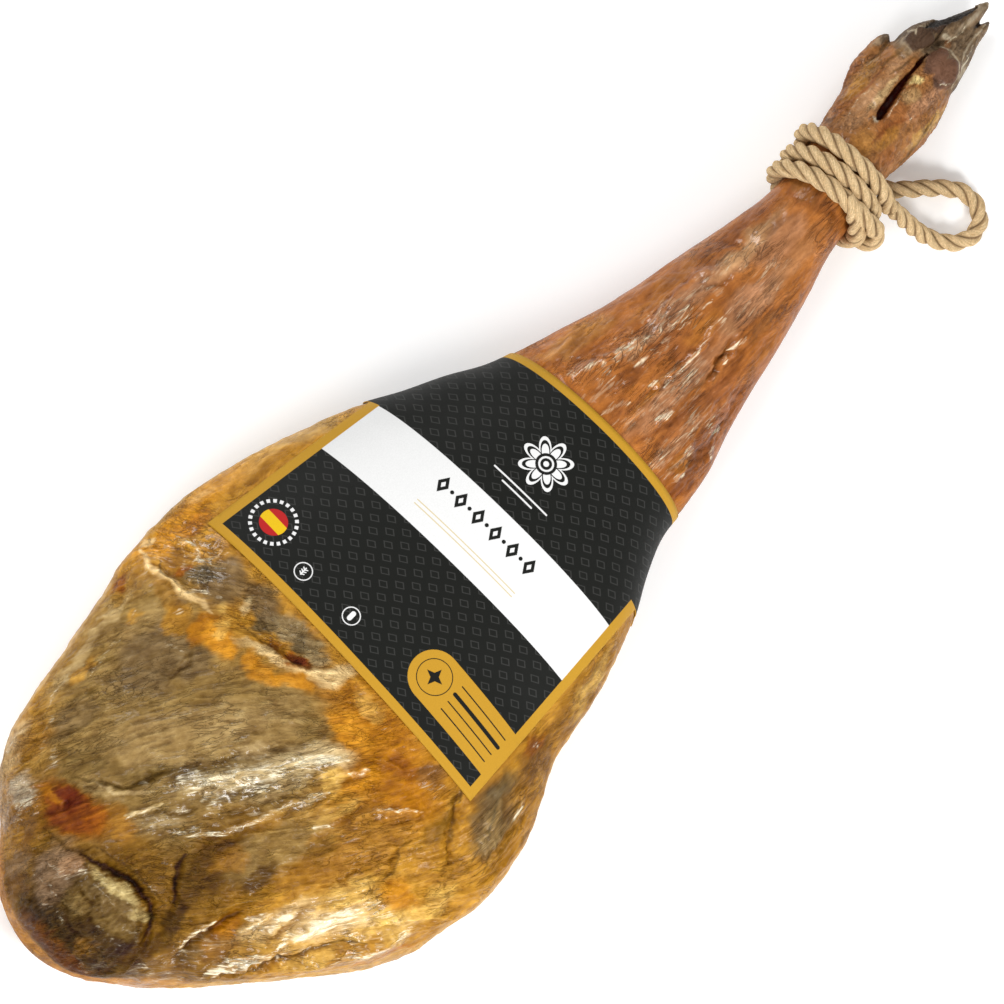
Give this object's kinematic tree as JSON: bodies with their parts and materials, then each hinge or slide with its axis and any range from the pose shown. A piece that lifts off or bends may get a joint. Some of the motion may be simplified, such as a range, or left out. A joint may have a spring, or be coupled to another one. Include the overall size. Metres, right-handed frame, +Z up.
{
  "type": "serrano ham shoulder",
  "caption": "Whole cured ham shoulder lying on its rind, with the trotter on, a printed card label round its neck and a rope with a hanging loop at the ankle.",
  "frame": {"origin": "on the floor below the middle of the ham's box", "axes": "+X along the ham from butt to toes, +Y across it, +Z up through the meat face that the label lies on"},
  "size_m": [0.7112, 0.2514, 0.0912],
  "materials": {
    "ham": "greasy cured rind, fat and meat, uneven gloss",
    "label": "coated card, printed black, white and ochre",
    "rope": "laid hemp rope, hairy and dull"
  },
  "bodies": {
    "root": {"ham": "ham", "label": "label", "rope_turns": "rope", "rope_loop": "rope"}
  },
  "joints": []
}
